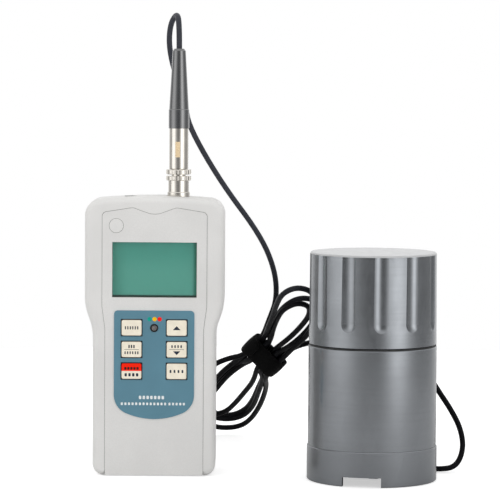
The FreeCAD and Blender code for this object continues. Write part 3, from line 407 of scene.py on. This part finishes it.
def display():
    """The unlit display: teal polariser, a faint dot matrix, and painted shade from the window's recess as
    darker margins and a dark foot.
    """
    mid, top, edge = srgb(115, 208, 190), srgb(96, 196, 178), srgb(30, 146, 118)
    made = Finish("lcd_panel", mid, 0.3, Specular_IOR_Level=0.5)
    wide, tall = made.part("X"), made.part("Z")
    upward = made.span(tall, 0.106, 0.121)
    # Painted shade of the window's recess towards the left and right margins.
    left = made.span(wide, METER_X - 0.0135, METER_X - 0.022)
    right = made.span(wide, METER_X + 0.0195, METER_X + 0.0222)
    tone = made.mixed(upward, mid, top)
    tone = made.mixed(made.maths("MULTIPLY", left, 0.75), tone, srgb(89, 184, 165))
    tone = made.mixed(right, tone, edge)
    # Painted shade under the window's foot.
    tone = made.mixed(made.span(tall, 0.0963, 0.0955), tone, srgb(30, 60, 48))
    dots = made.maths("MULTIPLY", made.waves(0.45, "X"), made.waves(0.45, "Z"))
    made.colour(made.span(dots, 0.0, 0.25, 0.08, 0.0), tone, shade(mid, 0.7))
    made.rough(made.noise(5, 2), 0.4, 0.5)
    made.bump(dots, 0.002, 0.4)
    return made.material


def window_glass():
    """The clear window, with a trace of wiping marks."""
    made = Finish("lcd_glass", (0.97, 1.0, 0.985, 1.0), 0.03, IOR=1.46, Transmission_Weight=1.0)
    wiped = made.noise(9, 3, 0.6, made.stretched(1.0, 1.0, 0.25))
    made.rough(wiped, 0.015, 0.04)
    made.bump(made.noise(30, 1), 0.002, 0.3)
    return made.material


def black_moulding(name, level=22, rough=(0.4, 0.55), grain=0.3):
    """Black or dark moulded plastic, at a display level, with a fine grain."""
    colour = srgb(level, level, level + 1)
    made = Finish(name, colour, rough[0], Specular_IOR_Level=0.45)
    made.colour(made.span(made.noise(4, 3), 0.3, 0.7), shade(colour, 0.85), shade(colour, 1.25))
    made.rough(made.noise(2, 3), *rough)
    made.bump(made.noise(grain, 2), 0.01, 0.7)
    return made.material


def lens():
    """The indicator's smoked lens, a little uneven inside."""
    made = Finish("led_lens", srgb(70, 64, 62), 0.12,
                  Specular_IOR_Level=0.6, Coat_Weight=0.6, Coat_Roughness=0.08)
    made.colour(made.span(made.noise(1.2, 2), 0.3, 0.7), srgb(96, 92, 92), srgb(140, 134, 130))
    made.rough(made.noise(0.8, 2), 0.1, 0.2)
    made.bump(made.noise(0.6, 2), 0.02, 0.4)
    return made.material


def board():
    """Green solder mask with copper tracks under it."""
    made = Finish("solder_mask", srgb(18, 84, 48), 0.35, Specular_IOR_Level=0.5)
    tracks = made.node("ShaderNodeTexBrick")
    tracks.inputs["Scale"].default_value = 420
    tracks.inputs["Mortar Size"].default_value = 0.03
    made.join(made.at, tracks.inputs["Vector"])
    made.colour(made.span(tracks.outputs["Fac"], 0, 1), srgb(16, 80, 46), srgb(48, 120, 70))
    made.rough(made.noise(2, 2), 0.3, 0.42)
    made.bump(tracks.outputs["Fac"], 0.03, 0.6)
    return made.material


def turned_metal(name, colour, rough, ring=0.22, depth=0.006, tone=0.08):
    """Lathe-turned metal: fine rings across its upright axis and a little tarnish."""
    made = Finish(name, colour, rough[0], 1.0)
    tarnish = made.span(made.noise(5, 4, 0.6), 0.3, 0.7)
    made.colour(tarnish, shade(colour, 1 - tone), shade(colour, 1 + tone))
    made.rough(made.noise(3, 3), *rough)
    made.bump(made.waves(ring, "Z", 0.4), depth, 0.5)
    return made.material


ANODISED_GREY = (0.245, 0.257, 0.272, 1)


def anodised(name, foot=False):
    """Satin anodised aluminium: faint turning lines, fine bead grain, handling marks in its roughness, and
    with foot, darker towards the bottom.
    """
    colour, rough = ANODISED_GREY, (0.2, 0.27)
    made = Finish(name, colour, rough[0], 1.0)
    cloud = made.noise(22, 3, 0.5)
    lines = made.noise(0.9, 2, 0.5, made.stretched(0.02, 0.02, 1.0))
    tone = made.mixed(made.span(cloud, 0.3, 0.7), shade(colour, 0.95), shade(colour, 1.05))
    if foot:
        # Darker towards the bottom, over the lowest 30 mm.
        tone = made.mixed(made.span(made.part("Z"), 0.004, 0.03, 0.8, 0), tone, shade(colour, 0.86))
    made.colour(made.span(lines, 0.3, 0.75, 0, 0.35), tone, shade(colour, 0.86))
    smear = made.noise(7, 4, 0.65, made.stretched(1, 1, 0.5))
    made.rough(smear, *rough)
    made.bump(made.noise(0.16, 1), 0.004, 0.6)
    made.bump(made.waves(0.3, "Z", 0.3), 0.0016, 0.5)
    return made.material


def disc_painted_highlight():
    """The cap's disc: satin finish over faint concentric turning, its pale grey a painted highlight for the
    light its top catches from above.
    """
    highlight_grey = srgb(188, 189, 190)
    made = Finish("disc_painted_highlight", highlight_grey, 0.4, Specular_IOR_Level=0.5, Coat_Weight=0.2, Coat_Roughness=0.25)
    made.colour(made.span(made.noise(12, 3), 0.3, 0.7), shade(highlight_grey, 0.96), shade(highlight_grey, 1.03))
    centred = made.node("ShaderNodeMapping")
    centred.inputs["Location"].default_value = (-CELL_X, -CELL_Y, 0)
    made.join(made.at, centred.inputs["Vector"])
    rings = made.node("ShaderNodeTexWave", wave_type="RINGS", rings_direction="Z")
    rings.inputs["Scale"].default_value = math.pi / (10 * 0.5 * MM)
    made.join(centred.outputs["Vector"], rings.inputs["Vector"])
    made.rough(made.noise(4, 3), 0.34, 0.46)
    made.bump(rings.outputs["Fac"], 0.004, 0.5)
    return made.material


def soft_rubber():
    """The cap's gasket: black rubber with a fine skin and slight bloom."""
    black = srgb(20, 20, 21)
    made = Finish("seal_rubber", black, 0.5, Specular_IOR_Level=0.5, Sheen_Weight=0.1, Sheen_Roughness=0.4)
    made.colour(made.span(made.noise(7, 4, 0.6), 0.3, 0.75), shade(black, 0.85), shade(black, 1.3))
    made.rough(made.noise(3, 3), 0.5, 0.7)
    made.bump(made.noise(0.4, 2), 0.01, 0.7)
    return made.material


def glossy_vinyl():
    """The plug's boot: dark polished vinyl with faint moulding ripples."""
    dark = srgb(28, 31, 36)
    made = Finish("boot_vinyl", dark, 0.16,
                  Specular_IOR_Level=1.0, Coat_Weight=1.0, Coat_Roughness=0.14, Coat_IOR=1.9)
    made.colour(made.span(made.noise(7, 4, 0.6), 0.3, 0.75), shade(dark, 0.85), shade(dark, 1.2))
    made.rough(made.noise(3, 3), 0.14, 0.22)
    made.bump(made.noise(2.5, 2), 0.006, 0.5)
    return made.material


def jacket():
    """The cord's vinyl: near black, with painted highlight as grey on the free lead above the hank."""
    dark, grey = srgb(10, 10, 13), srgb(64, 66, 73)
    made = Finish("cable_jacket", dark, 0.42, Specular_IOR_Level=0.06)
    # Painted highlight: the free lead above the hank is painted grey for the light it catches.
    free = made.span(made.part("Z"), 0.075, 0.125)
    tone = made.mixed(free, dark, grey)
    made.colour(made.span(made.noise(7, 4, 0.6), 0.3, 0.75, 0, 0.3), tone, srgb(30, 31, 34))
    made.rough(made.noise(3, 3), 0.36, 0.48)
    made.bump(made.noise(0.5, 2), 0.01, 0.7)
    return made.material


def webbing():
    """Black hook-and-loop: a brushed pile of fine loops over a woven ground."""
    made = Finish("hook_and_loop", srgb(6, 6, 7), 0.85,
                  Specular_IOR_Level=0.12, Sheen_Weight=0.08, Sheen_Roughness=0.35)
    loops = made.cells(0.42)
    pile = made.noise(0.7, 3, 0.7)
    made.colour(made.span(loops, 0.1, 0.6), srgb(10, 10, 11), srgb(3, 3, 3))
    made.rough(pile, 0.78, 0.95)
    made.bump(loops, 0.12, 0.6)
    made.bump(pile, 0.15, 0.5)
    return made.material


def printed(name, colour, rough=0.5):
    """Screen-printed ink: slightly uneven, and matte where it lies thin."""
    made = Finish(name, colour, rough, Specular_IOR_Level=0.3)
    made.colour(made.span(made.noise(0.6, 3), 0.3, 0.7), shade(colour, 0.9), shade(colour, 1.12))
    made.rough(made.noise(0.5, 2), rough - 0.08, rough + 0.08)
    made.bump(made.noise(0.25, 2), 0.004, 0.6)
    return made.material


GREY = srgb(226, 225, 223)
# Where the case's and the panel's front faces stand, in millimetres.
CASE_FRONT, PANEL_FRONT = -1.0, -1.2
FINISHES = {
    "case_shell": moulded("case_plastic", GREY, handled=True, seam_shade_depth=CASE_FRONT + 0.03),
    "face_panel": moulded("panel_plastic", shade(GREY, 0.985), 0.28, 0.008, (0.38, 0.5),
                          seam_shade_depth=PANEL_FRONT + 0.05),
    "jack_plastic": moulded("jack_plastic", srgb(168, 168, 166)),
    "overlay": print_film(),
    "lcd_window": window_glass(),
    "lcd_module": display(),
    "key": key_rubber("key_cream"),
    "key_red": key_rubber("key_cream_and_red", red_above=55.9),
    "black_plastic": black_moulding("black_plastic"),
    "led_lens": lens(),
    "circuit_board": board(),
    "steel": turned_metal("machined_steel", srgb(196, 196, 198), (0.25, 0.38)),
    "battery_skin": black_moulding("battery_sleeve", 40, (0.25, 0.35), grain=1.2),
    "chrome": turned_metal("polished_nickel", (0.66, 0.63, 0.58, 1), (0.1, 0.2),
                           ring=0.35, depth=0.003, tone=0.04),
    "pin_insert": black_moulding("pin_insert", 28),
    "boot_rubber": glossy_vinyl(),
    "cell_metal": anodised("cell_anodised", foot=True),
    "insulator": moulded("insulator_polymer", srgb(232, 230, 222), 0.4, 0.01, (0.4, 0.55)),
    "brass": turned_metal("brass", srgb(205, 170, 100), (0.22, 0.34)),
    "seal_rubber": soft_rubber(),
    "cap_metal": anodised("cap_anodised"),
    # The disc's pale grey is painted highlight.
    "cap_top": disc_painted_highlight(),
    "cable_jacket": jacket(),
    "strap_fabric": webbing(),
}

# The CAD nodes that take each finish.
SLOT_NODES = {
    "case_shell": ["front_case", "rear_case", "battery_cover", "blank_disc"],
    "face_panel": ["face_panel"],
    "overlay": ["keypad_overlay"],
    "lcd_window": ["lcd_window"],
    "lcd_module": ["lcd_module"],
    "key": ["key_select", "key_up", "key_mode", "key_down", "key_read"],
    "key_red": ["key_power"],
    "black_plastic": ["key_switches", "led_bezel", "battery_tray", "base_plate", "cable_gland"],
    "jack_plastic": ["data_jack"],
    "led_lens": ["indicator_led"],
    "circuit_board": ["main_board", "sensor_board"],
    "steel": ["board_screws", "case_screws", "base_screws", "battery_contacts", "grain_cup",
              "centre_electrode", "pressure_plate", "stem_clip", "pressure_spring"],
    "battery_skin": ["battery"],
    "chrome": ["sensor_socket", "socket_bezel", "socket_ring", "plug_collar", "plug_barrel"],
    "pin_insert": ["plug_insert"],
    "boot_rubber": ["plug_boot"],
    "cell_metal": ["base_ring", "sensor_body"],
    "insulator": ["electrode_insulator"],
    "brass": ["electrode_nut"],
    "seal_rubber": ["cap_gasket"],
    "cap_metal": ["cap_shell"],
    "cap_top": ["cap_disc"],
    "cable_jacket": ["cable_lead", "cable_tail", "cable_hank"],
    "strap_fabric": ["cable_strap"],
}
for slot, nodes in SLOT_NODES.items():
    for node in nodes:
        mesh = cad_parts[node].data
        mesh.materials.clear()
        mesh.materials.append(FINISHES[slot])


# ---------------------------------------------------------------- pieces

def finished(name, shape, slot, body, finish=None, smooth=False):
    """A new piece from a bmesh in metres, with its finish, riding on a body."""
    mesh = bpy.data.meshes.new(name)
    bmesh.ops.recalc_face_normals(shape, faces=shape.faces)
    shape.to_mesh(mesh)
    shape.free()
    for face in mesh.polygons:
        face.use_smooth = smooth
    mesh.materials.append(finish or FINISHES[slot])
    obj = bpy.data.objects.new(name, mesh)
    scene.collection.objects.link(obj)
    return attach(obj, body)


def raised(shape, outline, front, thick):
    """A flat mark facing -Y: an outline in X and Z, with its front at one depth, all in millimetres."""
    loops = []
    for y in (front, front + thick):
        loops.append([shape.verts.new((x * MM, y * MM, z * MM)) for x, z in outline])
    shape.faces.new(loops[0])
    shape.faces.new(list(reversed(loops[1])))
    for k in range(len(outline)):
        j = (k + 1) % len(outline)
        shape.faces.new((loops[0][k], loops[0][j], loops[1][j], loops[1][k]))


def bar(x, z, wide, tall, round_by=0.15):
    """The outline of a small rounded bar about a centre."""
    corners = []
    for sx, sz, start in ((1, 1, 0), (-1, 1, 90), (-1, -1, 180), (1, -1, 270)):
        cx, cz = x + sx * (wide / 2 - round_by), z + sz * (tall / 2 - round_by)
        for step in range(4):
            angle = math.radians(start + 30 * step)
            corners.append((cx + round_by * math.cos(angle), cz + round_by * math.sin(angle)))
    return corners


def disc_outline(x, z, radius, sides=28):
    """The outline of a round dot."""
    turns = [2 * math.pi * k / sides for k in range(sides)]
    return [(x + radius * math.cos(angle), z + radius * math.sin(angle)) for angle in turns]


def row(x, z, count, pitch, wide, tall):
    """The outlines of a row of equal bars about a centre."""
    start, round_by = x - (count - 1) / 2 * pitch, min(wide, tall) * 0.3
    return [bar(start + k * pitch, z, wide, tall, round_by) for k in range(count)]


def arrow(x, z, half, tall):
    """The outline of a triangle that points up, or down when tall is negative."""
    return [(x - half, z - tall / 2), (x + half, z - tall / 2), (x, z + tall / 2)]


# The keys' columns and rows, the fronts of keys and film, and the print's thickness, in millimetres.
LEFT, RIGHT = -56.3 - 11.9, -56.3 + 11.9
ROWS = (78.8, 67.3, 55.8)
KEY_FRONT, FILM_FRONT = -2.4, -1.6
INK = 0.06


def marks(name, outlines, front, body, finish):
    """Printed marks, and the painted shade lines round the keys, half sunk in the surface they lie on."""
    shape = bmesh.new()
    for outline in outlines:
        raised(shape, outline, front - INK / 2, INK)
    return finished(name, shape, "overlay", body, finish)


def key_marks():
    """The keys' generic marks: arrows, divider lines and plain bars."""
    navy = printed("legend_navy", srgb(36, 44, 60))
    dark = printed("legend_dark", srgb(16, 8, 8))
    grey = printed("legend_grey", srgb(150, 146, 136))
    top, middle, bottom = ROWS
    mode = row(LEFT, middle + 1.6, 3, 1.3, 0.7, 1.7) + row(LEFT, middle - 1.7, 6, 1.35, 0.6, 1.5)
    down = row(RIGHT, middle + 1.7, 4, 1.6, 0.7, 1.5) + [arrow(RIGHT, middle - 1.8, 1.9, -2.0)]
    for name, outlines, body, ink in (
            ("marks_select", row(LEFT, top, 6, 1.3, 0.62, 1.7), "key_select", navy),
            ("marks_up", [arrow(RIGHT, top, 2.0, 2.1)], "key_up", navy),
            ("marks_mode", mode, "key_mode", navy),
            ("line_mode", [bar(LEFT, middle, 7.8, 0.3)], "key_mode", grey),
            ("marks_down", down, "key_down", navy),
            ("line_down", [bar(RIGHT, middle + 0.1, 7.8, 0.3)], "key_down", grey),
            ("marks_power_top", row(LEFT, bottom + 1.5, 5, 1.6, 1.15, 1.4), "key_power", dark),
            ("marks_power", row(LEFT, bottom - 1.9, 4, 2.0, 1.2, 1.7), "key_power", navy),
            ("marks_read", row(RIGHT, bottom, 4, 2.1, 0.9, 1.6), "key_read", navy)):
        marks(name, outlines, KEY_FRONT, body, ink)


def film_marks():
    """The film's print, three dots and plain dashes at its foot, and a dark line round each key as painted
    shade of the gap round it.
    """
    for name, shift, colour in (("dot_green", -2.65, srgb(0, 160, 142)),
                                ("dot_amber", 0.0, srgb(255, 190, 0)),
                                ("dot_red", 2.65, srgb(255, 16, 4))):
        dot = disc_outline(-56.1 + shift, 83.4, 1.15)
        marks(name, [dot], FILM_FRONT, "instrument", printed("ink_" + name, colour, 0.4))
    white = printed("legend_white", srgb(232, 236, 236))
    dashes = row(-57.6, 41.8, 7, 2.0, 1.3, 1.8)
    for start, count in ((-73.8, 5), (-64.2, 8), (-48.6, 5)):
        dashes += [bar(start + 0.55 + k * 1.9, 38.4, 1.1, 1.4, 0.3) for k in range(count)]
    marks("film_dashes", dashes, FILM_FRONT, "instrument", white)
    # Painted shade: a dark line on the film round each key, where the gap round it lies in shade.
    gap_shade_lines = []
    for x in (LEFT, RIGHT):
        for z in ROWS:
            gap_shade_lines += [bar(x, z + side * 4.5, 11.3, 0.22, 0.05) for side in (-1, 1)]
            gap_shade_lines += [bar(x + side * 5.65, z, 0.22, 8.9, 0.05) for side in (-1, 1)]
    marks("key_gap_shade_lines", gap_shade_lines, FILM_FRONT, "instrument", printed("key_gap_painted_shade", srgb(40, 44, 50)))


def barrel_painted_highlight():
    """A plain tan patch on the front of the plug's barrel, a painted highlight laid on as a thin printed
    layer.
    """
    shape = bmesh.new()
    columns, start, spread = 8, -109, 28
    grid = []
    for radius in (5.16, 5.02):
        for z in (168.4, 176.6):
            arc = []
            for k in range(columns + 1):
                angle = math.radians(start + spread * k / columns)
                at = (PLUG_X + radius * math.cos(angle), PLUG_Y + radius * math.sin(angle), z)
                arc.append(shape.verts.new(Vector(at) * MM))
            grid.append(arc)
    low, high, low_in, high_in = grid
    for k in range(columns):
        for a, b in ((low, high), (high, high_in), (high_in, low_in), (low_in, low)):
            shape.faces.new((a[k], a[k + 1], b[k + 1], b[k]))
    for k in (0, columns):
        shape.faces.new((low[k], high[k], high_in[k], low_in[k]))
    # The patch's tan is painted highlight.
    finished("barrel_highlight_patch", shape, "overlay", "plug", printed("tan_painted_highlight", srgb(233, 208, 168)))


key_marks()
film_marks()
barrel_painted_highlight()


def strap_piece():
    """The strap: a soft band round the waist, its rounded free end lapped over its front."""
    shape = bmesh.new()
    around, rows, lap = 72, 13, 52
    half_long, half_wide, half_thick = 5.8, 10.0, 3.5
    shift, layer_thick = 0.6, 1.15

    def at_edge(k, along, grow):
        """A point of the band, k steps round it. grow moves it outwards."""
        angle = 2 * math.pi * k / around
        c, s = math.cos(angle), math.sin(angle)
        wide = (half_wide + grow) * math.copysign(abs(c) ** 0.55, c)
        thick = (half_thick + grow) * math.copysign(abs(s) ** 0.75, s)
        return in_strap(along, wide, thick)

    rings = []
    for r in range(rows):
        t = r / (rows - 1) * 2 - 1
        ring = []
        for k in range(around + lap):
            layer = layer_thick * max(0.0, min(1.0, (k - around + 4) / 7))
            left = (around + lap - 1 - k) / 7
            narrow = math.sqrt(1 - (1 - left) ** 2 * 0.8) if left < 1 else 1.0
            sag = 0.3 * math.sin(6 * math.pi * k / around + 0.6) * t * t
            at = at_edge(k, half_long * t * narrow + shift + sag, 0.4 * (1 - t * t) + layer)
            ring.append(shape.verts.new(at * MM))
        rings.append(ring)
    for a, b in zip(rings, rings[1:]):
        for k in range(around + lap - 1):
            shape.faces.new((a[k], a[k + 1], b[k + 1], b[k]))
    piece = finished("cord_strap", shape, "strap_fabric", "instrument", smooth=True)
    thick = piece.modifiers.new("thickness", "SOLIDIFY")
    thick.thickness = 1.0 * MM
    thick.offset = 1.0
    edge = piece.modifiers.new("edge", "BEVEL")
    edge.width = 0.3 * MM
    edge.segments = 2
    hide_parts("cable_strap")
    return piece


strap = strap_piece()
sensor_cord.data.materials.append(FINISHES["cable_jacket"])
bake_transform(sensor_cord)
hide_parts("cable_lead", "cable_tail", "cable_hank")


# ---------------------------------------------------------------- studio

# The surrounding light by azimuth in degrees: 0 is the front (-Y), 90 the right (+X).
LIGHT_LEVELS = [(-180, 1.25), (-150, 1.0), (-122, 0.5), (-96, 0.5), (-76, 1.35), (-60, 1.95), (-44, 1.25),
                (-29, 0.5), (-14, 0.3), (0, 0.24), (14, 0.34), (26, 1.2), (36, 2.3), (45, 2.5), (54, 2.0),
                (66, 1.0), (82, 0.45), (104, 0.36), (130, 0.55), (155, 1.0)]
BRIGHTEST = 2.5
OVERHEAD = 0.42


def studio_world():
    """Two tall softboxes in front, a bright room behind, and a white backdrop for the camera."""
    world = bpy.data.worlds.new("studio")
    scene.world = world
    world.use_nodes = True
    tree = world.node_tree
    tree.nodes.clear()

    def add(kind, **settings):
        made = tree.nodes.new(kind)
        for name, value in settings.items():
            setattr(made, name, value)
        return made

    at = add("ShaderNodeTexCoord")
    radial = add("ShaderNodeTexGradient", gradient_type="RADIAL")
    tree.links.new(at.outputs["Generated"], radial.inputs["Vector"])
    ramp = add("ShaderNodeValToRGB")
    ramp.color_ramp.interpolation = "B_SPLINE"
    stops = sorted((((azimuth - 90) % 360 / 360 + 0.5) % 1.0, level) for azimuth, level in LIGHT_LEVELS)
    elements = ramp.color_ramp.elements
    while len(elements) > 1:
        elements.remove(elements[-1])
    elements[0].position = stops[0][0]
    for place, _ in stops[1:]:
        elements.new(place)
    for element, (_, level) in zip(elements, stops):
        element.color = (level / BRIGHTEST,) * 3 + (1,)
    tree.links.new(radial.outputs["Fac"], ramp.inputs["Fac"])
    split = add("ShaderNodeSeparateXYZ")
    tree.links.new(at.outputs["Generated"], split.inputs["Vector"])
    rise = add("ShaderNodeMapRange", interpolation_type="SMOOTHSTEP")
    for socket, value in (("From Min", 0.35), ("From Max", 0.8), ("To Min", 0.0), ("To Max", 1.0)):
        rise.inputs[socket].default_value = value
    tree.links.new(split.outputs["Z"], rise.inputs["Value"])
    overhead = add("ShaderNodeMix", data_type="RGBA")
    overhead.inputs[7].default_value = (OVERHEAD, OVERHEAD, OVERHEAD, 1)
    tree.links.new(rise.outputs["Result"], overhead.inputs["Factor"])
    tree.links.new(ramp.outputs["Color"], overhead.inputs[6])
    light = add("ShaderNodeBackground")
    light.inputs["Strength"].default_value = BRIGHTEST
    tree.links.new(overhead.outputs[2], light.inputs["Color"])
    backdrop = add("ShaderNodeBackground")
    backdrop.inputs["Color"].default_value = (1, 1, 1, 1)
    seen = add("ShaderNodeLightPath")
    either = add("ShaderNodeMixShader")
    tree.links.new(seen.outputs["Is Camera Ray"], either.inputs[0])
    tree.links.new(light.outputs[0], either.inputs[1])
    tree.links.new(backdrop.outputs[0], either.inputs[2])
    out = add("ShaderNodeOutputWorld")
    tree.links.new(either.outputs[0], out.inputs["Surface"])


def floor():
    """A plain pale round floor, a little brighter to the eye than in the light it gives back."""
    shape = bmesh.new()
    bmesh.ops.create_circle(shape, cap_ends=True, segments=96, radius=0.62)
    mesh = bpy.data.meshes.new("floor")
    shape.to_mesh(mesh)
    shape.free()
    made = Finish("floor_white", (0.7, 0.7, 0.7, 1), 0.7, Specular_IOR_Level=0.1)
    seen = made.node("ShaderNodeLightPath").outputs["Is Camera Ray"]
    pale = made.mixed(made.span(made.noise(60, 2), 0.3, 0.7), (0.69, 0.69, 0.69, 1), (0.71, 0.71, 0.71, 1))
    made.colour(seen, (0.8, 0.8, 0.8, 1), pale)
    made.shader.inputs["Emission Color"].default_value = (1, 1, 1, 1)
    made.join(made.maths("MULTIPLY", seen, 0.55), made.shader.inputs["Emission Strength"])
    mesh.materials.append(made.material)
    obj = bpy.data.objects.new("floor", mesh)
    obj.location = (0, 0.05, -0.0002)
    scene.collection.objects.link(obj)


studio_world()
floor()
scene.view_settings.view_transform = "Standard"
